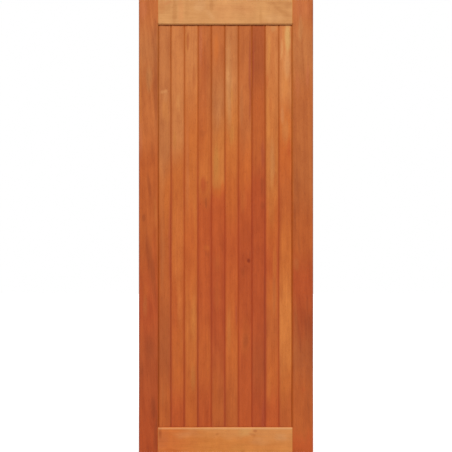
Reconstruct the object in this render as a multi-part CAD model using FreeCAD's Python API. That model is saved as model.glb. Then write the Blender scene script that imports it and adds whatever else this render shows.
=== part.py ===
import FreeCAD, Part
import math
import os

# A framed, ledged and braced door leaf, in millimetres.
# X runs across the leaf from its hinge edge, Y through it from front to back, and Z up from its foot.
# The origin is on the hinge edge, at the foot, in the middle of the leaf's thickness.

# Leaf
door_width = 762.0
door_height = 1981.0
door_thickness = 44.0
edge_easing = 1.5  # chamfer on the leaf's outer arrises, front and back

# Frame
hinge_stile_width = 85.0
lock_stile_width = 91.0
top_rail_height = 110.0
bottom_rail_height = 110.0
front_chamfer = 5.0  # round the boarded opening, on the front
back_chamfer = 2.0  # round the two bays on the back, and along the braces

# Boards
panel_recess = 7.0  # from the frame's front face back to the boards
board_thickness = 16.0
board_cover = 59.0  # face width of a whole board, without its tongue
narrowest_rip = 25.0  # a board ripped to less than this shares its loss with the next one
vee_chamfer = 4.0  # on each long front arris, so that two boards make a V joint
tongue_thickness = 5.0
tongue_length = 8.0
tongue_side_clearance = 0.1
tongue_end_clearance = 1.0

# Ledge and braces, behind the boards
middle_ledge_height = 110.0
middle_ledge_centre = 950.0  # above the foot of the leaf
brace_width = 90.0
brace_set_in = 40.0  # from a stile to the foot or head of a brace
brace_notch = 20.0  # how deep a brace's end is let into a rail

# Wedged tenons
tenon_thickness = 14.0
rail_tenon_shoulder = 9.0  # at the rail's inner edge, past the groove for the boards
ledge_tenon_shoulder = 20.0  # above and below the ledge's tenons
haunch_height = 36.0  # between a rail's tenon and the end of the stile
haunch_depth = 14.0
wedge_thick_end = 6.0
wedge_thin_end = 1.0
wedge_to_haunch = 14.0  # solid wood between a wedge's thin end and the haunch

# Planes through the leaf, from front to back
front = -door_thickness / 2
back = door_thickness / 2
boards_front = front + panel_recess
boards_back = boards_front + board_thickness
tongue_front = boards_front + (board_thickness - tongue_thickness) / 2
tongue_back = tongue_front + tongue_thickness
groove_front = tongue_front - tongue_side_clearance
groove_back = tongue_back + tongue_side_clearance
groove_depth = tongue_length + tongue_end_clearance
tenon_front = boards_back  # in line with the ledge's front, so its tenon is barefaced
tenon_back = tenon_front + tenon_thickness

# Lines across and up the leaf
opening_left = hinge_stile_width
opening_right = door_width - lock_stile_width
opening_foot = bottom_rail_height
opening_head = door_height - top_rail_height
ledge_foot = middle_ledge_centre - middle_ledge_height / 2
ledge_head = middle_ledge_centre + middle_ledge_height / 2
wedge_tip = haunch_depth + wedge_to_haunch  # from a stile's inner edge to a wedge's thin end


# Plain solids
def block(left, right, near, far, foot, head):
    """A box between two X, two Y and two Z values."""
    return Part.makeBox(right - left, far - near, head - foot, FreeCAD.Vector(left, near, foot))


def prism(points, direction):
    """A closed outline of 3-D points, extruded."""
    corners = [FreeCAD.Vector(*point) for point in points]
    return Part.Face(Part.makePolygon(corners + corners[:1])).extrude(FreeCAD.Vector(*direction))


def flare(left, right, foot, head, deep, out):
    """A cutter for chamfers at 45 degrees: as large as an opening at Y = deep, wider all round at Y = out."""
    spread = abs(out - deep)

    def ring(y, grow):
        low_x, high_x = left - grow, right + grow
        low_z, high_z = foot - grow, head + grow
        corners = [(low_x, y, low_z), (high_x, y, low_z), (high_x, y, high_z), (low_x, y, high_z)]
        return Part.makePolygon([FreeCAD.Vector(*corner) for corner in corners + corners[:1]])

    return Part.makeLoft([ring(deep, 0), ring(out, spread)], True, True)


def eased_leaf():
    """The whole leaf as one block, with its front and back arrises taken off."""
    leaf = block(0, door_width, front, back, 0, door_height)
    arrises = [edge for edge in leaf.Edges if edge.BoundBox.YLength < edge_easing]
    return leaf.makeChamfer(edge_easing, arrises)


def front_flare():
    """Chamfers the frame round the boards."""
    return flare(opening_left, opening_right, opening_foot, opening_head,
                 front + front_chamfer, front - front_chamfer)


def back_flares():
    """Chamfers the frame and the ledge round the bays below and above the ledge."""
    bays = ((opening_foot, ledge_foot), (ledge_head, opening_head))
    return [flare(opening_left, opening_right, foot, head, back - back_chamfer, back + back_chamfer)
            for foot, head in bays]


# Boards
def board_faces():
    """Left and right face edges of each board: whole boards from the lock stile, the rest ripped to fit."""
    width = opening_right - opening_left
    whole = int(width // board_cover)
    rest = width - whole * board_cover
    ripped = [rest]
    if rest < narrowest_rip:
        whole -= 1
        ripped = [(rest + board_cover) / 2] * 2
    edges = [opening_left]
    for cover in ripped + [board_cover] * whole:
        edges.append(edges[-1] + cover)
    return list(zip(edges, edges[1:]))


def board(left, right, against_stile):
    """A V-jointed board: tongued at its right edge and both ends, and at its left edge grooved or tongued."""
    right_tongue = right + tongue_length
    if against_stile:
        left_end = left - tongue_length
        joint_front, joint_back = tongue_front, tongue_back
    else:
        left_end = left + groove_depth
        joint_front, joint_back = groove_front, groove_back
    section = [
        (left + vee_chamfer, boards_front), (right - vee_chamfer, boards_front),
        (right, boards_front + vee_chamfer), (right, tongue_front),
        (right_tongue, tongue_front), (right_tongue, tongue_back),
        (right, tongue_back), (right, boards_back),
        (left, boards_back), (left, joint_back),
        (left_end, joint_back), (left_end, joint_front),
        (left, joint_front), (left, boards_front + vee_chamfer),
    ]
    low, high = opening_foot - tongue_length, opening_head + tongue_length
    length = prism([(x, y, low) for x, y in section], (0, 0, high - low))
    side = [
        (boards_front, opening_foot), (tongue_front, opening_foot), (tongue_front, low),
        (tongue_back, low), (tongue_back, opening_foot), (boards_back, opening_foot),
        (boards_back, opening_head), (tongue_back, opening_head), (tongue_back, high),
        (tongue_front, high), (tongue_front, opening_head), (boards_front, opening_head),
    ]
    start = left - tongue_length
    ends = prism([(start, y, z) for y, z in side], (right_tongue - start, 0, 0))
    return length.common(ends)


# Rails and ledge
def crossbar(face, foot, head, tenon_foot, tenon_head):
    """A bar between the stiles, from Y = face to the back, with a tenon through each stile."""
    body = block(opening_left, opening_right, face, back, foot, head)
    tenons = block(0, door_width, tenon_front, tenon_back, tenon_foot, tenon_head)
    return body.fuse(tenons)


def haunched(bar, foot, head):
    """Adds the stub that keeps a rail from twisting beside its tenon, at both ends."""
    haunch = block(opening_left - haunch_depth, opening_right + haunch_depth, tenon_front, tenon_back, foot, head)
    return bar.fuse(haunch)


def rail_groove(foot, head):
    """The groove in a rail's inner edge for the boards' end tongues."""
    return block(opening_left, opening_right, groove_front, groove_back, foot, head)


def top_rail():
    bar = crossbar(front, opening_head, door_height, *top_tenon)
    bar = haunched(bar, top_tenon[1], door_height)
    return bar.cut(rail_groove(opening_head, opening_head + groove_depth))


def bottom_rail():
    bar = crossbar(front, 0, opening_foot, *bottom_tenon)
    bar = haunched(bar, 0, bottom_tenon[0])
    return bar.cut(rail_groove(opening_foot - groove_depth, opening_foot))


def middle_ledge():
    return crossbar(boards_back, ledge_foot, ledge_head, *ledge_tenon)


# Braces
def brace(foot, head):
    """A brace that rises from the hinge side, with each end let into a rail by a skew notch."""
    run = opening_right - opening_left - 2 * brace_set_in
    rise = head - foot
    slope = math.atan2(rise, run) + math.asin(brace_width / math.hypot(run, rise))
    lean = rise / math.tan(slope)
    bite = brace_notch * math.tan(slope)
    heel = opening_left + brace_set_in
    toe = opening_right - brace_set_in
    outline = [
        (heel, foot), (heel + bite, foot - brace_notch), (toe - lean, foot),
        (toe, head), (toe - bite, head + brace_notch), (heel + lean, head),
    ]
    shaped = prism([(x, boards_back, z) for x, z in outline], (0, back - boards_back, 0))

    along = (math.cos(slope), 0, math.sin(slope))
    reach = math.hypot(run, rise)
    section = [
        (0, boards_back), (brace_width, boards_back), (brace_width, back - back_chamfer),
        (brace_width - back_chamfer, back), (back_chamfer, back), (0, back - back_chamfer),
    ]
    start_x = heel - reach * along[0]
    start_z = foot - reach * along[2]
    corners = [(start_x + across * along[2], y, start_z - across * along[0]) for across, y in section]
    bar = prism(corners, [3 * reach * part for part in along])
    return shaped.common(bar)


# Wedges
def wedge(edge, tip, tenon_line, away):
    """A wedge driven in from a stile's outer edge, beside a tenon: away is +1 above it and -1 below it."""
    outline = [
        (edge, tenon_line), (edge, tenon_line + away * wedge_thick_end),
        (tip, tenon_line + away * wedge_thin_end), (tip, tenon_line),
    ]
    return prism([(x, tenon_front, z) for x, z in outline], (0, tenon_thickness, 0))


def wedges():
    """Two wedges for every tenon end, by name."""
    made = {}
    sides = (
        ("hinge", 0, opening_left - wedge_tip),
        ("lock", door_width, opening_right + wedge_tip),
    )
    for rail, (low, high) in (("top", top_tenon), ("middle", ledge_tenon), ("bottom", bottom_tenon)):
        for side, edge, tip in sides:
            made[f"wedge_{rail}_{side}_upper"] = wedge(edge, tip, high, 1)
            made[f"wedge_{rail}_{side}_lower"] = wedge(edge, tip, low, -1)
    return made


# Stiles
def stile(left, right, groove_left, groove_right):
    """A full-height upright, grooved along its inner edge for the outer board's tongue."""
    groove = block(groove_left, groove_right, groove_front, groove_back,
                   opening_foot - groove_depth, opening_head + groove_depth)
    return block(left, right, front, back, 0, door_height).cut(groove)


# Foot and head of each tenon
top_tenon = (opening_head + rail_tenon_shoulder, door_height - haunch_height)
ledge_tenon = (ledge_foot + ledge_tenon_shoulder, ledge_head - ledge_tenon_shoulder)
bottom_tenon = (haunch_height, opening_foot - rail_tenon_shoulder)


def door():
    """Every piece of the leaf, by name."""
    pieces = {}
    for number, (left, right) in enumerate(board_faces(), start=1):
        pieces[f"board_{number:02d}"] = board(left, right, against_stile=number == 1)

    braces = {
        "lower_brace": brace(opening_foot, ledge_foot),
        "upper_brace": brace(ledge_head, opening_head),
    }
    bars = {
        "top_rail": top_rail(),
        "middle_ledge": middle_ledge(),
        "bottom_rail": bottom_rail(),
    }
    driven = wedges()
    stiles = {
        "hinge_stile": stile(0, opening_left, opening_left - groove_depth, opening_left),
        "lock_stile": stile(opening_right, door_width, opening_right, opening_right + groove_depth),
    }

    chamfers = [front_flare()] + back_flares()
    for name, bar in bars.items():
        bars[name] = bar.cut(chamfers).cut(list(braces.values())).common(eased_leaf())
    for name, upright in stiles.items():
        mortises = list(bars.values()) + list(driven.values())
        stiles[name] = upright.cut(mortises).cut(chamfers).common(eased_leaf())
    for group in (stiles, bars, braces, driven):
        pieces.update(group)
    return pieces


def main():
    os.makedirs("parts", exist_ok=True)
    for name, shape in door().items():
        shape.removeSplitter().exportStep(f"parts/{name}.step")


main()
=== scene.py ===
import math
from dataclasses import dataclass, field

import bpy
import numpy as np
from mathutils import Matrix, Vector


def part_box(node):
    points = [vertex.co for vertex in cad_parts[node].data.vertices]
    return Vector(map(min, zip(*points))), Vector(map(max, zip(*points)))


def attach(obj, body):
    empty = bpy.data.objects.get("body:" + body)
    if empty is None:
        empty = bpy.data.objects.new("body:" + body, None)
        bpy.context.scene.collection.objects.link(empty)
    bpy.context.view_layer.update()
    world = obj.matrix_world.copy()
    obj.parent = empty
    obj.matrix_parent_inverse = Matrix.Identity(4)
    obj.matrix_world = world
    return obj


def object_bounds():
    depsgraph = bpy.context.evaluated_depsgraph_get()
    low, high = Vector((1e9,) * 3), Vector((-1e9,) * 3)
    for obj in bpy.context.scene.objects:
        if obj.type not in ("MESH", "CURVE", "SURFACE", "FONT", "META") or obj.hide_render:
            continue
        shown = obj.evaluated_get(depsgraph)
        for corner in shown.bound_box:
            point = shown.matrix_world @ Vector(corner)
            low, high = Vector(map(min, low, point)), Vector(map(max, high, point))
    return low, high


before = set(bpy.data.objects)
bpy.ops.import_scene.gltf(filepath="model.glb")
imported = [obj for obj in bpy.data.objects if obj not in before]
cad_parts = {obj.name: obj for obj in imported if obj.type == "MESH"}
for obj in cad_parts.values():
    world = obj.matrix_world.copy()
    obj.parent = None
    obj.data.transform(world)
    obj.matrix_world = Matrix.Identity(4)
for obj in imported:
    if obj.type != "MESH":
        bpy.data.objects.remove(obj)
cad_low, cad_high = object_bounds()

# A framed, ledged and braced door leaf in varnished red timber, in metres.
# X runs across the leaf from its hinge edge, Y through it from front to back, and Z up from its foot.
MM = 0.001
door_width = cad_high.x - cad_low.x
door_height = cad_high.z - cad_low.z
front = cad_low.y
back = cad_high.y

# The boarded opening, the lines between the boards' faces, and the boards' middles
BOARD_COUNT = 10
FRONT_CHAMFER = 5 * MM
opening_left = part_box("hinge_stile")[1].x
opening_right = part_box("lock_stile")[0].x
opening_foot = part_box("bottom_rail")[1].z
opening_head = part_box("top_rail")[0].z
seams = [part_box(f"board_{number:02d}")[0].x for number in range(2, BOARD_COUNT + 1)]
joints = [opening_left] + seams + [opening_right]
board_middles = [(left + right) / 2 for left, right in zip(joints, joints[1:])]


# Tones of the timber under its varnish, from pale to dark; some of them also serve as painted light and
# painted shade along the joints
def tone(red, green, blue):
    """A colour as it shows on a screen, from 0 to 255, as linear light."""
    shares = [value / 255 for value in (red, green, blue)]
    linear = [share / 12.92 if share <= 0.04045 else ((share + 0.055) / 1.055) ** 2.4 for share in shares]
    return linear + [1.0]


# Painted light: a pale tone that lifts the shaded underside chamfer of the top rail
UNDERSIDE_LIGHT = tone(231, 158, 94)
BISQUE = tone(214, 160, 108)
CREAM = tone(208, 156, 92)
WHEAT = tone(216, 150, 92)
STRAW = tone(212, 140, 78)
HONEY = tone(200, 139, 83)
PEACH = tone(206, 134, 80)
PUMPKIN = tone(210, 132, 66)
MARIGOLD = tone(208, 126, 58)
TANGERINE = tone(206, 119, 54)
OCHRE = tone(195, 122, 56)
APRICOT = tone(194, 116, 61)
KHAKI = tone(182, 119, 66)
CORAL = tone(204, 110, 50)
AMBER = tone(196, 112, 50)
TAN = tone(183, 107, 56)
ROSE = tone(188, 104, 62)
COPPER = tone(194, 103, 43)
SORREL = tone(187, 102, 49)
MULBERRY = tone(192, 94, 66)
GINGER = tone(191, 95, 38)
CHESTNUT = tone(180, 97, 46)
SIENNA = tone(182, 90, 38)
RUSSET = tone(184, 83, 35)
BARK = tone(167, 82, 37)
BRICK = tone(176, 76, 33)
MAHOGANY = tone(169, 76, 33)
WINE = tone(166, 70, 44)
MAROON = tone(150, 60, 42)
UMBER = tone(136, 60, 26)
KNOT = tone(138, 44, 16)
# Painted shadow: the dark tone of the top rail's shadow on the heads of the boards
RAIL_SHADOW = tone(100, 40, 8)
STAIN = tone(80, 28, 4)


# Shader nodes
MIX_FACTOR, MIX_A, MIX_B, MIX_RESULT = 0, 6, 7, 2


def add(tree, kind, inputs=None, **settings):
    """A new node, with its settings, and with its inputs linked to sockets or set to values."""
    made = tree.nodes.new(kind)
    for name, value in settings.items():
        setattr(made, name, value)
    for key, value in (inputs or {}).items():
        if isinstance(value, bpy.types.NodeSocket):
            tree.links.new(value, made.inputs[key])
        else:
            made.inputs[key].default_value = value
    return made


def maths(tree, operation, *values):
    """The result of one sum on numbers."""
    return add(tree, "ShaderNodeMath", dict(enumerate(values)), operation=operation).outputs[0]


def vectors(tree, operation, *values):
    """The result of one sum on vectors."""
    made = add(tree, "ShaderNodeVectorMath", dict(enumerate(values)), operation=operation)
    return made.outputs["Value" if operation in ("LENGTH", "DOT_PRODUCT") else "Vector"]


def mixed(tree, factor, first, second):
    """Two colours mixed."""
    inputs = {MIX_FACTOR: factor, MIX_A: first, MIX_B: second}
    return add(tree, "ShaderNodeMix", inputs, data_type="RGBA").outputs[MIX_RESULT]


def ramp(tree, value, low, high, out_low=0.0, out_high=1.0):
    """A smooth rise from out_low to out_high while a value goes from low to high."""
    inputs = {"Value": value, "From Min": low, "From Max": high, "To Min": out_low, "To Max": out_high}
    return add(tree, "ShaderNodeMapRange", inputs, interpolation_type="SMOOTHSTEP").outputs["Result"]


def noise(tree, vector, stretch, detail=2.0, roughness=0.5):
    """Cloudy values about 0.5, with so many clouds in a metre along each axis."""
    scaled = vectors(tree, "MULTIPLY", vector, stretch)
    inputs = {"Vector": scaled, "Scale": 1.0, "Detail": detail, "Roughness": roughness}
    return add(tree, "ShaderNodeTexNoise", inputs).outputs


def cloudy_shift(tree, vector, stretch, reach):
    """A cloudy move of a place, as far as a reach in metres to either side along each axis."""
    colour = noise(tree, vector, stretch)["Color"]
    return vectors(tree, "MULTIPLY_ADD", colour, [2 * far for far in reach], [-far for far in reach])


# Spans of a noise's values, from its middle ones to nearly all of them
MIDDLE_VALUES = (0.3, 0.7)
MOST_VALUES = (0.25, 0.75)
NEARLY_ALL_VALUES = (0.2, 0.8)

# The figure of solid timber, with its grain along Z
SWAY_CLOUDS = (5, 5, 1.1)
SWAY = (0.025, 0.025, 0)
RINGS_IN_A_METRE = 75.0
PORE_EDGE = (0.6, 0.74)


def figure_group():
    """A node group that gives the parts of a timber's figure at any point of a piece."""
    tree = bpy.data.node_groups.new("timber_figure", "ShaderNodeTree")
    for name in ("Point", "Seed", "Pith"):
        tree.interface.new_socket(name, in_out="INPUT", socket_type="NodeSocketVector")
    given = add(tree, "NodeGroupInput").outputs
    place = vectors(tree, "ADD", given["Point"], given["Seed"])

    sway = cloudy_shift(tree, place, SWAY_CLOUDS, SWAY)
    swayed = vectors(tree, "ADD", place, sway)
    from_pith = vectors(tree, "SUBTRACT", vectors(tree, "ADD", given["Point"], sway), given["Pith"])
    radius = vectors(tree, "LENGTH", vectors(tree, "MULTIPLY", from_pith, (1, 1, 0)))
    years = maths(tree, "MULTIPLY", radius, RINGS_IN_A_METRE)
    pores = noise(tree, swayed, (1700, 1700, 85), detail=1.0)["Fac"]

    parts = {
        "Rings": noise(tree, years, (1, 1, 1))["Fac"],
        "Bands": noise(tree, swayed, (24, 24, 0.8), detail=1.0)["Fac"],
        "Ribbons": noise(tree, swayed, (75, 75, 2.2), detail=1.0)["Fac"],
        "Mottle": noise(tree, swayed, (30, 30, 11))["Fac"],
        "Streaks": noise(tree, swayed, (190, 190, 4.5))["Fac"],
        "Fibres": noise(tree, swayed, (700, 700, 16), detail=3.0, roughness=0.65)["Fac"],
        "Pores": ramp(tree, pores, *PORE_EDGE),
        "Curl": noise(tree, place, (9, 9, 30), detail=1.0)["Fac"],
    }
    for name in parts:
        tree.interface.new_socket(name, in_out="OUTPUT", socket_type="NodeSocketFloat")
    add(tree, "NodeGroupOutput", parts)
    return tree


timber_figure = figure_group()


# What a finish holds
@dataclass
class Patch:
    """A soft spot of another tone: its middle and half sizes in millimetres, and its lean in degrees."""
    x: float
    z: float
    wide: float
    tall: float
    tone: list
    amount: float
    lean: float = 0.0


@dataclass
class Line:
    """A plane across X or Z, in metres, beside which other tones lie, as far as a reach in millimetres."""
    axis: str
    at: float
    reach: float
    amount: float
    tone: list
    head_tone: list


@dataclass
class Finish:
    """The tones along a piece, at millimetres from the foot or the hinge edge, and what else shows on it."""
    stops: list
    patches: list = field(default_factory=list)
    curl: float = 0.0
    lean: float = 0.0
    figure: float = 1.0


# How far each part of the figure darkens the timber, about its mean, and how much each colour takes of it
DEPTHS = {
    "Rings": (0.3, 0.5),
    "Bands": (0.32, 0.5),
    "Ribbons": (0.3, 0.5),
    "Mottle": (0.5, 0.5),
    "Streaks": (0.16, 0.5),
    "Fibres": (0.42, 0.5),
    "Pores": (0.45, 0.1),
}
CHANNEL_DEPTHS = (0.7, 1.1, 1.3)
LEAST_LEFT = (0.05, 0.05, 0.05)

# How far end grain darkens, and how squarely a face has to lie across the grain for it
END_GRAIN_DEPTH = 0.35
END_GRAIN_FACING = (0.75, 0.95)

# Where the pith of a piece's tree may lie, aside and behind it, and how far apart two figures start
PITH_ASIDE = 0.06
PITH_BEHIND = (0.05, 0.12)
SEED_SPREAD = 20

# How far the figure draws the tones along, and how far the patches wander
BAND_DRAW = 25 * MM
RIBBON_DRAW = 8 * MM
WANDER_CLOUDS = (22, 22, 9)
WANDER = (6 * MM, 0, 15 * MM)

# How patches and lines fade, how uneven they are, and between which heights a line changes its tone
PATCH_FULL = 0.75
PATCH_UNEVEN = (0.7, 1.3)
LINE_UNEVEN = (0.6, 1.3)
TONE_CHANGE = (1.0, 1.6)

# The varnish, and the grain that shows in its surface
VARNISH = 0.25
VARNISH_ROUGHNESS = 0.22
TIMBER_ROUGHNESS = (0.4, 0.55)
TIMBER_SPECULAR = 0.05
GRAIN_RELIEF = 0.2 * MM
GRAIN_STRENGTH = 0.25


def corner_points(piece):
    """The corners of a piece's mesh, one in each row."""
    return np.array([vertex.co for vertex in piece.data.vertices])


def grain_axis(piece):
    """The direction of a piece's length, with no part through the leaf, and where its ends lie along it."""
    points = corner_points(piece)
    length = np.linalg.svd(points - points.mean(0), full_matrices=False)[2][0]
    length[1] = 0
    length /= np.linalg.norm(length) * (1 if length.sum() > 0 else -1)
    reach = points @ length
    return length, reach.min(), reach.max()


def tone_ramp(tree, share, stops):
    """Tones that run into each other along a share from 0 to 1."""
    made = add(tree, "ShaderNodeValToRGB", {"Fac": share})
    made.color_ramp.interpolation = "EASE"
    elements = made.color_ramp.elements
    elements.remove(elements[-1])
    elements[0].position, elements[0].color = stops[0]
    for position, colour in stops[1:]:
        elements.new(position).color = colour
    return made.outputs["Color"]


def patched(tree, colour, place, grain, patch):
    """A colour with one soft patch laid over it, made uneven by the grain."""
    inputs = {
        "Vector": place,
        "Location": (patch.x * MM, 0, patch.z * MM),
        "Rotation": (0, math.radians(patch.lean), 0),
        "Scale": (patch.wide * MM, 1, patch.tall * MM),
    }
    inside = add(tree, "ShaderNodeMapping", inputs, vector_type="TEXTURE").outputs[0]
    near = add(tree, "ShaderNodeTexGradient", {"Vector": inside}, gradient_type="SPHERICAL").outputs["Fac"]
    near = maths(tree, "MULTIPLY", near, ramp(tree, grain["Ribbons"], *MIDDLE_VALUES, *PATCH_UNEVEN))
    return mixed(tree, ramp(tree, near, 0.0, PATCH_FULL, 0.0, patch.amount), colour, patch.tone)


def lined(tree, colour, varnish, sides, grain, line):
    """A colour and its varnish with what lies along one line, whose tone changes towards the door's head."""
    away = maths(tree, "ABSOLUTE", maths(tree, "SUBTRACT", sides[line.axis], line.at))
    amount = ramp(tree, away, 0.0, line.reach * MM, line.amount, 0.0)
    amount = maths(tree, "MULTIPLY", amount, ramp(tree, grain["Bands"], *MIDDLE_VALUES, *LINE_UNEVEN))
    amount = maths(tree, "MINIMUM", amount, 1.0)
    shade = mixed(tree, ramp(tree, sides["Z"], *TONE_CHANGE), line.tone, line.head_tone)
    bare = maths(tree, "SUBTRACT", 1.0, amount)
    return mixed(tree, amount, colour, shade), maths(tree, "MULTIPLY", varnish, bare)


def figured(tree, place, piece, axis, lean, dice):
    """The parts of a piece's own figure, turned so that its grain runs along the piece."""
    angle = math.atan2(axis[0], axis[2]) + math.radians(lean)
    points = corner_points(piece)
    middle = (points.min(0) + points.max(0)) / 2
    across = middle[0] * math.cos(angle) - middle[2] * math.sin(angle)
    pith_across = across + dice.uniform(-PITH_ASIDE, PITH_ASIDE)
    seed = dice.uniform(-SEED_SPREAD, SEED_SPREAD, 3)
    pith = (pith_across, dice.uniform(*PITH_BEHIND), 0)
    turned = add(tree, "ShaderNodeMapping", {"Vector": place, "Rotation": (0, -angle, 0)}).outputs[0]
    made = add(tree, "ShaderNodeGroup", node_tree=timber_figure)
    made.inputs["Seed"].default_value = seed
    made.inputs["Pith"].default_value = pith
    tree.links.new(turned, made.inputs["Point"])
    return made.outputs


def toned(tree, place, grain, axis, start, end, finish):
    """The tones along a piece, drawn about by its figure, with its patches."""
    along = vectors(tree, "DOT_PRODUCT", place, axis)
    along = maths(tree, "ADD", along, ramp(tree, grain["Bands"], *MOST_VALUES, -BAND_DRAW, BAND_DRAW))
    along = maths(tree, "ADD", along, ramp(tree, grain["Ribbons"], *MOST_VALUES, -RIBBON_DRAW, RIBBON_DRAW))
    share = maths(tree, "DIVIDE", maths(tree, "SUBTRACT", along, start), end - start)
    stops = [((at * MM - start) / (end - start), shade) for at, shade in finish.stops]
    colour = tone_ramp(tree, share, stops)
    wandered = vectors(tree, "ADD", place, cloudy_shift(tree, place, WANDER_CLOUDS, WANDER))
    for patch in finish.patches:
        colour = patched(tree, colour, wandered, grain, patch)
    return colour


def darkened(tree, colour, normal, grain, axis, finish):
    """A colour darkened by the figure, and more where the grain ends."""
    darkness = 0.0
    for part, (depth, mean) in DEPTHS.items():
        depth *= finish.figure
        change = maths(tree, "MULTIPLY_ADD", grain[part], depth, -depth * mean)
        darkness = maths(tree, "ADD", darkness, change)
    if finish.curl:
        change = ramp(tree, grain["Curl"], *MOST_VALUES, -finish.curl, finish.curl)
        darkness = maths(tree, "ADD", darkness, change)
    facing = maths(tree, "ABSOLUTE", vectors(tree, "DOT_PRODUCT", normal, axis))
    end_grain = ramp(tree, facing, *END_GRAIN_FACING, 0.0, END_GRAIN_DEPTH)
    darkness = maths(tree, "ADD", darkness, end_grain)
    left = vectors(tree, "MULTIPLY_ADD", darkness, [-depth for depth in CHANNEL_DEPTHS], (1, 1, 1))
    return vectors(tree, "MULTIPLY", colour, vectors(tree, "MAXIMUM", left, LEAST_LEFT))


def timber(name, piece, finish, lines, number):
    """A varnished timber for one piece, with a figure of its own."""
    material = bpy.data.materials.new(name)
    material.use_nodes = True
    tree = material.node_tree
    tree.nodes.clear()
    dice = np.random.default_rng(number)
    axis, start, end = grain_axis(piece)
    coordinates = add(tree, "ShaderNodeTexCoord").outputs
    place = coordinates["Object"]
    sides = add(tree, "ShaderNodeSeparateXYZ", {"Vector": place}).outputs

    grain = figured(tree, place, piece, axis, finish.lean, dice)
    colour = toned(tree, place, grain, axis, start, end, finish)
    colour = darkened(tree, colour, coordinates["Normal"], grain, axis, finish)
    varnish = VARNISH
    for line in lines:
        colour, varnish = lined(tree, colour, varnish, sides, grain, line)

    relief = maths(tree, "MULTIPLY_ADD", grain["Pores"], -1.0, grain["Fibres"])
    inputs = {"Strength": GRAIN_STRENGTH, "Distance": GRAIN_RELIEF, "Height": relief}
    bump = add(tree, "ShaderNodeBump", inputs)
    shader = add(tree, "ShaderNodeBsdfPrincipled", {
        "Base Color": colour,
        "Roughness": ramp(tree, grain["Fibres"], *NEARLY_ALL_VALUES, *TIMBER_ROUGHNESS),
        "Normal": bump.outputs[0],
        "Specular IOR Level": TIMBER_SPECULAR,
        "Coat Weight": varnish,
        "Coat Roughness": VARNISH_ROUGHNESS,
    })
    add(tree, "ShaderNodeOutputMaterial", {"Surface": shader.outputs[0]})
    return material
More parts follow.
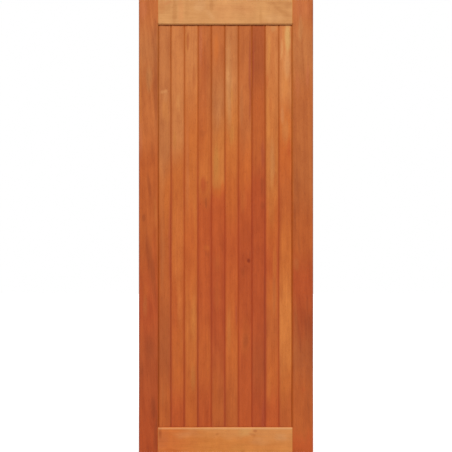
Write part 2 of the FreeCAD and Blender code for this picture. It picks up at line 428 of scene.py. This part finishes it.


# The finish of each piece: its tones from foot to head, or from left to right, then the marks in it. Towards
# the head the tones grow paler, partly a painted top light.
FINISHES = {
    "hinge_stile": Finish(
        [
            (60, BRICK), (420, MAHOGANY), (620, BRICK), (1000, SIENNA), (1250, SIENNA), (1440, SORREL),
            (1600, CHESTNUT), (1750, TAN), (1940, CHESTNUT),
        ],
        [
            Patch(20, 1935, 26, 60, ROSE, 0.5),
            Patch(74, 1640, 15, 330, UMBER, 0.4),
            Patch(4, 1560, 10, 300, AMBER, 0.7),
            Patch(9, 1370, 12, 110, ROSE, 0.5),
            Patch(55, 1320, 9, 50, UMBER, 0.25),
            Patch(44, 1166, 11, 95, UMBER, 0.35, -9),
            Patch(72, 1060, 10, 100, AMBER, 0.5),
            Patch(22, 1026, 11, 22, UMBER, 0.35),
            Patch(66, 900, 16, 110, RUSSET, 0.4),
            Patch(52, 815, 20, 230, UMBER, 0.4, -7),
            Patch(28, 700, 20, 60, GINGER, 0.4),
            Patch(46, 455, 24, 90, UMBER, 0.35, -6),
            Patch(12, 364, 12, 50, UMBER, 0.3),
            Patch(64, 195, 20, 70, UMBER, 0.35),
            Patch(80, 140, 8, 60, UMBER, 0.4),
            Patch(74, 60, 13, 90, UMBER, 0.35),
            Patch(70, 1835, 16, 90, UMBER, 0.45),
            Patch(78, 1730, 10, 80, UMBER, 0.2),
            Patch(44, 1638, 20, 80, KHAKI, 0.6),
            Patch(29, 641, 16, 70, SORREL, 0.5),
        ],
        lean=-4.0,
    ),
    "lock_stile": Finish(
        [
            (30, RUSSET), (110, SIENNA), (260, SIENNA), (420, BARK), (560, MAHOGANY), (750, BRICK),
            (950, SIENNA), (1250, CHESTNUT), (1550, CHESTNUT), (1750, TAN), (1940, CHESTNUT),
        ],
        [
            Patch(710, 1935, 60, 70, ROSE, 0.4),
            Patch(738, 1650, 10, 75, ROSE, 0.5),
            Patch(695, 1610, 14, 80, ROSE, 0.35),
            Patch(688, 1120, 24, 190, UMBER, 0.28),
            Patch(697, 930, 11, 95, UMBER, 0.3, -8),
            Patch(688, 825, 18, 40, CHESTNUT, 0.5),
            Patch(678, 980, 12, 170, UMBER, 0.2),
            Patch(738, 653, 10, 45, UMBER, 0.25),
            Patch(742, 540, 26, 100, UMBER, 0.3),
            Patch(742, 290, 24, 150, UMBER, 0.22),
            Patch(694, 550, 12, 80, UMBER, 0.25, -12),
            Patch(683, 480, 15, 270, SORREL, 0.4),
            Patch(704, 475, 9, 55, UMBER, 0.3),
            Patch(720, 272, 12, 18, RUSSET, 0.5),
            Patch(735, 180, 25, 80, UMBER, 0.15),
            Patch(707, 1850, 18, 80, HONEY, 0.4),
            Patch(738, 343, 16, 70, UMBER, 0.15),
        ],
        lean=-2.0,
    ),
    "top_rail": Finish(
        [(100, HONEY), (660, HONEY)],
        [
            Patch(125, 1966, 34, 10, ROSE, 0.3),
            Patch(115, 1944, 40, 18, KHAKI, 0.35),
            Patch(98, 1950, 22, 45, TAN, 0.35),
            Patch(157, 1925, 14, 95, KHAKI, 0.65),
            Patch(183, 1930, 18, 90, PEACH, 0.45),
            Patch(210, 1945, 15, 70, KHAKI, 0.35),
            Patch(268, 1957, 36, 45, BISQUE, 0.35),
            Patch(316, 1957, 11, 50, KHAKI, 0.6),
            Patch(312, 1908, 16, 40, BISQUE, 0.25, -40),
            Patch(375, 1930, 75, 80, WHEAT, 0.5),
            Patch(444, 1963, 22, 9, KHAKI, 0.25),
            Patch(446, 1918, 24, 10, KHAKI, 0.25),
            Patch(470, 1945, 60, 60, WHEAT, 0.4),
            Patch(533, 1905, 11, 50, KHAKI, 0.5),
            Patch(590, 1900, 60, 26, BISQUE, 0.2),
            Patch(606, 1944, 70, 15, KHAKI, 0.6, 30),
            Patch(640, 1920, 40, 16, KHAKI, 0.65, 30),
            Patch(640, 1960, 60, 35, KHAKI, 0.5),
        ],
        curl=0.05, figure=0.65,
    ),
    "bottom_rail": Finish(
        [(110, CORAL), (320, MARIGOLD), (660, PUMPKIN)],
        [
            Patch(400, 92, 230, 42, STRAW, 0.75),
            Patch(610, 82, 170, 52, STRAW, 0.9),
            Patch(210, 80, 80, 26, PEACH, 0.5),
            Patch(465, 86, 52, 24, CREAM, 0.4),
            Patch(342, 79, 14, 7, BARK, 0.3),
            Patch(145, 10, 44, 10, GINGER, 0.5),
            Patch(100, 55, 42, 60, ROSE, 0.25),
            Patch(508, 93, 13, 9, BARK, 0.45),
            Patch(497, 76, 26, 10, SORREL, 0.4, 25),
            Patch(455, 9, 15, 7, BARK, 0.4),
            Patch(400, 6, 60, 9, COPPER, 0.4),
            Patch(440, 24, 56, 24, OCHRE, 0.5),
            Patch(620, 66, 40, 26, BISQUE, 0.3),
            Patch(525, 50, 55, 24, WHEAT, 0.4),
            Patch(93, 92, 12, 42, BARK, 0.7),
        ],
        curl=0.04, figure=0.65,
    ),
    "middle_ledge": Finish([(100, COPPER), (400, AMBER), (660, GINGER)]),
    "lower_brace": Finish([(200, SIENNA), (900, COPPER)]),
    "upper_brace": Finish([(1000, COPPER), (1900, APRICOT)]),
    "board_01": Finish(
        [(200, SIENNA), (440, BARK), (820, SIENNA), (1130, COPPER), (1320, TAN), (1800, TAN)],
        [
            Patch(100, 1250, 18, 320, TAN, 0.4),
            Patch(100, 1000, 15, 220, BARK, 0.4),
            Patch(126, 1100, 13, 90, COPPER, 0.7),
            Patch(103, 880, 14, 240, TAN, 0.35),
            Patch(112, 830, 30, 280, BARK, 0.28),
            Patch(138, 930, 12, 260, WINE, 0.4),
            Patch(105, 250, 16, 60, CHESTNUT, 0.4),
            Patch(113, 1660, 28, 75, TAN, 0.5),
            Patch(116, 1500, 24, 85, PUMPKIN, 0.4),
            Patch(118, 1558, 18, 45, PEACH, 0.5),
            Patch(110, 1579, 22, 13, WHEAT, 0.5),
        ],
    ),
    "board_02": Finish(
        [(175, RUSSET), (330, GINGER), (680, GINGER), (1000, COPPER), (1220, COPPER), (1380, APRICOT)],
        [
            Patch(172, 900, 24, 330, CORAL, 0.75),
            Patch(156, 620, 15, 180, RUSSET, 0.5),
            Patch(166, 420, 13, 80, SIENNA, 0.5),
            Patch(186, 470, 9, 90, COPPER, 0.5),
            Patch(156, 1370, 12, 60, OCHRE, 0.4),
            Patch(180, 630, 18, 110, CORAL, 0.8),
            Patch(173, 1537, 15, 55, STRAW, 0.55),
        ],
    ),
    "board_03": Finish(
        [(175, GINGER), (540, COPPER), (880, GINGER), (1100, COPPER), (1330, COPPER), (1750, APRICOT)],
        [
            Patch(208, 1790, 11, 70, OCHRE, 0.5),
            Patch(232, 938, 13, 40, SIENNA, 0.4),
            Patch(228, 841, 15, 45, SIENNA, 0.35),
            Patch(240, 590, 17, 140, MARIGOLD, 0.5),
            Patch(236, 330, 15, 90, OCHRE, 0.4),
            Patch(212, 1250, 10, 300, ROSE, 0.3),
            Patch(224, 890, 30, 330, RUSSET, 0.4),
            Patch(214, 1795, 11, 50, BARK, 0.6),
            Patch(243, 1642, 13, 60, CHESTNUT, 0.5),
        ],
    ),
    "board_04": Finish(
        [
            (175, RUSSET), (425, GINGER), (680, RUSSET), (1050, RUSSET), (1190, COPPER), (1330, COPPER),
            (1600, CHESTNUT),
        ],
        [
            Patch(281, 1550, 30, 400, RUSSET, 0.3),
            Patch(281, 480, 30, 260, RUSSET, 0.4),
            Patch(270, 1780, 11, 120, ROSE, 0.6),
            Patch(296, 1680, 18, 160, BARK, 0.5),
            Patch(280, 1398, 15, 24, UMBER, 0.18),
            Patch(296, 1181, 14, 9, UMBER, 0.3),
            Patch(293, 1091, 7, 30, UMBER, 0.4),
            Patch(298, 898, 20, 18, GINGER, 0.7, -20),
            Patch(302, 870, 15, 18, UMBER, 0.2),
            Patch(284, 1170, 22, 50, BRICK, 0.8),
        ],
    ),
    "board_05": Finish(
        [
            (200, SIENNA), (600, BRICK), (1100, RUSSET), (1140, GINGER), (1172, AMBER), (1330, AMBER),
            (1540, TAN), (1720, CHESTNUT),
        ],
        [
            Patch(337, 1770, 17, 90, COPPER, 0.7),
            Patch(339, 1265, 17, 120, OCHRE, 0.9),
            Patch(349, 1480, 17, 90, PEACH, 0.25),
            Patch(335, 296, 12, 100, GINGER, 0.5),
            Patch(345, 830, 18, 60, SIENNA, 0.4),
            Patch(345, 680, 18, 100, SIENNA, 0.4),
        ],
    ),
    "board_06": Finish(
        [
            (175, SIENNA), (425, GINGER), (900, RUSSET), (1130, GINGER), (1290, COPPER), (1450, AMBER),
            (1620, APRICOT), (1820, TAN),
        ],
        [
            Patch(391, 1620, 26, 260, HONEY, 0.5),
            Patch(407, 1565, 9, 55, OCHRE, 0.5, -5),
            Patch(407, 1390, 13, 70, OCHRE, 0.6),
            Patch(426, 640, 13, 160, RUSSET, 0.75),
            Patch(394, 540, 15, 150, AMBER, 0.6),
            Patch(388, 1646, 13, 55, WHEAT, 0.6),
            Patch(430, 610, 9, 70, MAROON, 0.35),
        ],
    ),
    "board_07": Finish(
        [
            (175, RUSSET), (560, RUSSET), (860, BRICK), (1080, RUSSET), (1240, GINGER), (1450, SORREL),
            (1620, SORREL), (1780, CHESTNUT),
        ],
        [
            Patch(450, 1520, 14, 120, TAN, 0.5),
            Patch(486, 1640, 8, 280, MAROON, 0.5),
            Patch(456, 789, 12, 30, UMBER, 0.25),
            Patch(466, 500, 25, 130, GINGER, 0.45),
            Patch(466, 490, 14, 50, UMBER, 0.3),
            Patch(472, 835, 15, 14, RUSSET, 0.6),
            Patch(481.5, 841, 12, 13, KNOT, 0.8),
            Patch(481.5, 841, 6, 8, STAIN, 0.2),
            Patch(487, 868, 5, 26, UMBER, 0.3),
            Patch(458, 1095, 20, 70, CORAL, 0.4),
        ],
    ),
    "board_08": Finish(
        [
            (175, BRICK), (350, MAHOGANY), (600, BRICK), (1150, BRICK), (1330, SIENNA), (1500, SIENNA),
            (1700, BARK),
        ],
        [
            Patch(497, 1710, 11, 170, MAROON, 0.6),
            Patch(510, 1784, 15, 50, UMBER, 0.2),
            Patch(543, 1161, 16, 65, UMBER, 0.4),
            Patch(543, 1083, 13, 30, UMBER, 0.3),
            Patch(524, 1230, 18, 40, UMBER, 0.15),
            Patch(546, 160, 15, 120, MAROON, 0.4),
            Patch(551, 640, 7, 560, UMBER, 0.5),
            Patch(543, 1300, 16, 90, MAROON, 0.4),
        ],
    ),
    "board_09": Finish(
        [
            (175, RUSSET), (320, GINGER), (550, SIENNA), (680, GINGER), (820, RUSSET), (1000, GINGER),
            (1230, AMBER), (1780, APRICOT),
        ],
        [
            Patch(582, 1580, 32, 400, COPPER, 0.25),
            Patch(588, 1855, 19, 22, HONEY, 0.4),
            Patch(568, 1750, 10, 130, OCHRE, 0.6),
            Patch(560, 1625, 11, 48, RUSSET, 0.35),
            Patch(566, 1480, 10, 160, MARIGOLD, 0.6),
            Patch(582, 1270, 14, 150, HONEY, 0.35),
            Patch(582, 1050, 20, 95, AMBER, 0.4),
            Patch(592, 690, 15, 120, TAN, 0.35),
            Patch(570, 285, 13, 95, COPPER, 0.5),
            Patch(596, 830, 16, 110, COPPER, 0.7),
            Patch(602, 1795, 13, 55, BARK, 0.3),
            Patch(575, 1524, 12, 50, SIENNA, 0.3),
            Patch(597, 1192, 14, 50, SIENNA, 0.5),
        ],
    ),
    "board_10": Finish(
        [
            (175, SIENNA), (300, COPPER), (420, TANGERINE), (620, TANGERINE), (850, COPPER), (1100, SIENNA),
            (1280, GINGER), (1420, COPPER), (1580, APRICOT), (1780, APRICOT),
        ],
        [
            Patch(650, 1815, 19, 90, CREAM, 0.8),
            Patch(620, 1830, 9, 60, ROSE, 0.4),
            Patch(640, 1610, 21, 90, MARIGOLD, 0.3),
            Patch(660, 1330, 13, 65, RUSSET, 0.5),
            Patch(664, 290, 9, 170, MAHOGANY, 0.25),
            Patch(646, 1700, 20, 90, WHEAT, 0.6),
            Patch(624, 1760, 12, 60, WHEAT, 0.55),
            Patch(641, 1410, 20, 80, KHAKI, 0.3),
            Patch(628, 1471, 14, 50, PEACH, 0.5),
        ],
    ),
}
WEDGE_FINISH = Finish([(0, OCHRE), (2000, OCHRE)])
PELLET_FINISH = Finish([(0, OCHRE), (2000, AMBER)])


# Joints and arrises
def board_lines(number):
    """Painted shadow on a board under the top rail, painted shade at its foot above the bottom rail, and
    darker bands along its V joints, partly stain and partly painted shade.
    """
    lines = [
        # Painted shadow of the top rail across the board's head
        Line("Z", opening_head, 8, 1.7, RAIL_SHADOW, RAIL_SHADOW),
        # Painted shade on the board's foot, just above the bottom rail
        Line("Z", opening_foot, 8, 0.4, UMBER, UMBER),
    ]
    for edge in joints[max(number - 1, 1):min(number + 1, BOARD_COUNT)]:
        # Darker, redder bands along the V joints: partly stain in the joints, partly painted shade; the
        # narrower band puts another tone on the V's faces
        lines.append(Line("X", edge, 16, 0.25, WINE, BARK))
        lines.append(Line("X", edge, 6, 0.4, MULBERRY, CHESTNUT))
    return lines


def rail_painted_light():
    """Painted highlights on a rail: paler at its shoulders and along the top arris of the bottom rail, and
    painted light on the shaded underside chamfer of the top rail.
    """
    foot_arris = opening_foot - FRONT_CHAMFER
    # Painted highlights where the rails' shoulders catch the light
    lines = [Line("X", edge, 4, 0.4, CREAM, CREAM) for edge in (opening_left, opening_right)]
    # Painted highlight along the bottom rail's upper chamfer, which faces the light
    lines.append(Line("Z", foot_arris, 6, 0.7, BISQUE, BISQUE))
    # Painted light that lifts the shade on the top rail's downward chamfer
    lines.append(Line("Z", opening_head, 8, 0.9, UNDERSIDE_LIGHT, UNDERSIDE_LIGHT))
    return lines


def joint_lines(name):
    """Where the tone changes along a piece's joints and its outer arrises, with painted light and shade
    among it.
    """
    # Painted light: a warmer, lighter tone at the stile joints that offsets the shade in the recess beside
    # the boards
    stile_joint_light = [Line("X", edge, 7, 0.6, GINGER, AMBER) for edge in (opening_left, opening_right)]
    if name.startswith("board"):
        return board_lines(int(name[-2:])) + stile_joint_light
    if name.endswith("stile"):
        return stile_joint_light + [Line("X", edge, 6, 0.3, STAIN, STAIN) for edge in (0, door_width)]
    if name.endswith("rail"):
        return rail_painted_light()
    return []


ARRIS_EASING = 0.4 * MM
ARRIS_ANGLE = math.radians(30)
FLAT_ANGLE = math.radians(1)
WELD_REACH = 0.01 * MM


def soften(piece):
    """Eases a piece's arrises by modifiers, which leave its own mesh as it is."""
    weld = piece.modifiers.new("weld", "WELD")
    weld.merge_threshold = WELD_REACH
    flat = piece.modifiers.new("flat_faces", "DECIMATE")
    flat.decimate_type = "DISSOLVE"
    flat.angle_limit = FLAT_ANGLE
    easing = piece.modifiers.new("easing", "BEVEL")
    easing.width = ARRIS_EASING
    easing.segments = 2
    easing.angle_limit = ARRIS_ANGLE
    easing.harden_normals = True


for number, (name, piece) in enumerate(sorted(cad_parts.items())):
    finish = FINISHES.get(name, WEDGE_FINISH)
    piece.data.materials.clear()
    piece.data.materials.append(timber("timber_" + name, piece, finish, joint_lines(name), number))
    soften(piece)


# Wood pellets over the screws that hold the boards, in the backs of the ledge and the braces
PELLET_RADIUS = 6 * MM
PELLET_RIM = 0.5 * MM
PELLET_PROUD = 0.15 * MM
PELLET_DEPTH = 4 * MM
PELLET_SIDES = 24
LEDGE_SCREW_SPREAD = 25 * MM
LEDGE_SCREW_STAGGER = 12 * MM
BRACE_END_CLEAR = 70 * MM
GLUE_ROUGHNESS = 0.6
GRIME_CLOUDS = (900, 900, 900)


def glue_line():
    """The thin dark line of glue round a pellet."""
    material = bpy.data.materials.new("glue_line")
    material.use_nodes = True
    tree = material.node_tree
    place = add(tree, "ShaderNodeTexCoord").outputs["Object"]
    grime = ramp(tree, noise(tree, place, GRIME_CLOUDS)["Fac"], *MIDDLE_VALUES)
    shader = tree.nodes["Principled BSDF"]
    shader.inputs["Roughness"].default_value = GLUE_ROUGHNESS
    tree.links.new(mixed(tree, grime, STAIN, UMBER), shader.inputs["Base Color"])
    return material


glue = glue_line()


def pellets(name, places, number):
    """Low round plugs at places across and up the back, closed below the surface that they fill."""
    turns = [2 * math.pi * side / PELLET_SIDES for side in range(PELLET_SIDES)]
    rings = [
        (PELLET_RADIUS - PELLET_RIM, back + PELLET_PROUD),
        (PELLET_RADIUS, back + PELLET_PROUD - PELLET_RIM / 2),
        (PELLET_RADIUS, back - PELLET_DEPTH),
    ]
    corners, faces, slots = [], [], []
    for x, z in places:
        first = len(corners)
        for radius, y in rings:
            corners += [(x + radius * math.cos(turn), y, z + radius * math.sin(turn)) for turn in turns]
        for ring in range(len(rings) - 1):
            for side in range(PELLET_SIDES):
                here = first + ring * PELLET_SIDES + side
                beside = first + ring * PELLET_SIDES + (side + 1) % PELLET_SIDES
                faces.append((here, beside, beside + PELLET_SIDES, here + PELLET_SIDES))
        slots += [1] * (PELLET_SIDES * (len(rings) - 1))
        last = first + (len(rings) - 1) * PELLET_SIDES
        faces.append(list(range(first + PELLET_SIDES - 1, first - 1, -1)))
        faces.append(list(range(last, last + PELLET_SIDES)))
        slots += [0, 0]
    mesh = bpy.data.meshes.new(name)
    mesh.from_pydata(corners, [], faces)
    mesh.polygons.foreach_set("material_index", slots)
    made = bpy.data.objects.new(name, mesh)
    bpy.context.scene.collection.objects.link(made)
    mesh.materials.append(timber("timber_" + name, made, PELLET_FINISH, [], number))
    mesh.materials.append(glue)
    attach(made, "root")


def ledge_screws():
    """The places of two screws through the ledge into each board, set askew by turns."""
    low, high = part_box("middle_ledge")
    middle = (low.z + high.z) / 2
    places = []
    for index, x in enumerate(board_middles):
        stagger = LEDGE_SCREW_STAGGER if index % 2 else -LEDGE_SCREW_STAGGER
        places.append((x + stagger, middle + LEDGE_SCREW_SPREAD))
        places.append((x - stagger, middle - LEDGE_SCREW_SPREAD))
    return places


def brace_screws(name):
    """The place of one screw through a brace into each board that it crosses clear of its ends."""
    low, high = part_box(name)
    middle = (low + high) / 2
    length = grain_axis(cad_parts[name])[0]
    rise = length[2] / length[0]
    crossed = [x for x in board_middles if low.x + BRACE_END_CLEAR < x < high.x - BRACE_END_CLEAR]
    return [(x, middle.z + (x - middle.x) * rise) for x in crossed]


node_count = len(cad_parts)
pellets("ledge_pellets", ledge_screws(), node_count)
for number, name in enumerate(("lower_brace", "upper_brace"), start=node_count + 1):
    pellets(name + "_pellets", brace_screws(name), number)


# Stage
FLOOR_GREY = 0.45
FLOOR_HALF = 14.0
NEAR_GLOW = 0.6
GLOW_START, GLOW_FULL = 1.2, 3.0


def seen_white(tree, level):
    """A strength that only the camera, mirrors and glass see."""
    path = add(tree, "ShaderNodeLightPath").outputs
    seen = maths(tree, "MAXIMUM", path["Is Camera Ray"], path["Is Glossy Ray"])
    seen = maths(tree, "MAXIMUM", seen, path["Is Transmission Ray"])
    return maths(tree, "MULTIPLY", seen, level)


def floor():
    """A wide floor that shows pale, keeps the door's shadow near it and runs out into plain white."""
    mesh = bpy.data.meshes.new("floor")
    corners = [(x * FLOOR_HALF, y * FLOOR_HALF, 0) for x, y in ((-1, -1), (1, -1), (1, 1), (-1, 1))]
    mesh.from_pydata(corners, [], [(0, 1, 2, 3)])
    made = bpy.data.objects.new("floor", mesh)
    bpy.context.scene.collection.objects.link(made)
    material = bpy.data.materials.new("pale_floor")
    material.use_nodes = True
    tree = material.node_tree
    tree.nodes.clear()
    place = add(tree, "ShaderNodeTexCoord").outputs["Object"]
    away = vectors(tree, "LENGTH", vectors(tree, "SUBTRACT", place, (door_width / 2, 0, 0)))
    glow = seen_white(tree, ramp(tree, away, GLOW_START, GLOW_FULL, NEAR_GLOW, 1.0))
    matt = add(tree, "ShaderNodeBsdfDiffuse", {"Color": (FLOOR_GREY, FLOOR_GREY, FLOOR_GREY, 1)})
    white = add(tree, "ShaderNodeEmission", {"Color": (1, 1, 1, 1), "Strength": glow})
    both = add(tree, "ShaderNodeAddShader", {0: matt.outputs[0], 1: white.outputs[0]})
    add(tree, "ShaderNodeOutputMaterial", {"Surface": both.outputs[0]})
    mesh.materials.append(material)


# Lights
SKY_LEVEL = 0.44
SUN_STRENGTH = 1.96
SUN_SPREAD = math.radians(20)
HEAD_PANEL = (1.4, 0.5)
HEAD_POWER = 9.0
BACK_PANEL = (3.0, 2.0)
BACK_POWER = 200.0

middle_x = door_width / 2
centre = (middle_x, 0, door_height / 2)
head = (middle_x, 0, door_height)
sun_place = (middle_x, -4.5, door_height / 2 + 4.0)
head_place = (middle_x, -1.6, 2.9)
back_place = (middle_x + 1.5, 4.2, 4.0)


def sky():
    """White where it is seen, and an even soft light of a lower level on what it lights."""
    world = bpy.data.worlds.new("studio")
    world.use_nodes = True
    tree = world.node_tree
    tree.nodes.clear()
    strength = maths(tree, "ADD", seen_white(tree, 1 - SKY_LEVEL), SKY_LEVEL)
    light = add(tree, "ShaderNodeBackground", {"Color": (1, 1, 1, 1), "Strength": strength})
    add(tree, "ShaderNodeOutputWorld", {"Surface": light.outputs[0]})
    bpy.context.scene.world = world


def lamp(light, place, target):
    """Puts a light where it faces a target."""
    made = bpy.data.objects.new(light.name, light)
    made.location = place
    made.rotation_euler = (Vector(target) - Vector(place)).to_track_quat("-Z", "Y").to_euler()
    made.visible_camera = False
    bpy.context.scene.collection.objects.link(made)


def soft_sun(name, place, target):
    """Even light from one side, as from a very large panel far away."""
    light = bpy.data.lights.new(name, "SUN")
    light.energy = SUN_STRENGTH
    light.angle = SUN_SPREAD
    lamp(light, place, target)


def panel(name, place, target, size, power):
    """A soft rectangular lamp."""
    light = bpy.data.lights.new(name, "AREA")
    light.shape = "RECTANGLE"
    light.size, light.size_y = size
    light.energy = power
    lamp(light, place, target)


# Camera
LENS = 110.0
SENSOR = 36.0
OVERFILL = 1.0025


def camera():
    """Square on to the front, from far enough away that the leaf just fills the picture's height."""
    view = bpy.data.cameras.new("camera")
    view.lens = LENS
    view.sensor_width = SENSOR
    made = bpy.data.objects.new("camera", view)
    distance = door_height * LENS / SENSOR / OVERFILL
    made.location = (middle_x, front - distance, door_height / 2)
    made.rotation_euler = (math.pi / 2, 0, 0)
    bpy.context.scene.collection.objects.link(made)
    bpy.context.scene.camera = made


floor()
sky()
soft_sun("front_light", sun_place, centre)
panel("head_light", head_place, head, HEAD_PANEL, HEAD_POWER)
panel("back_light", back_place, centre, BACK_PANEL, BACK_POWER)
camera()
bpy.context.scene.view_settings.view_transform = "Standard"
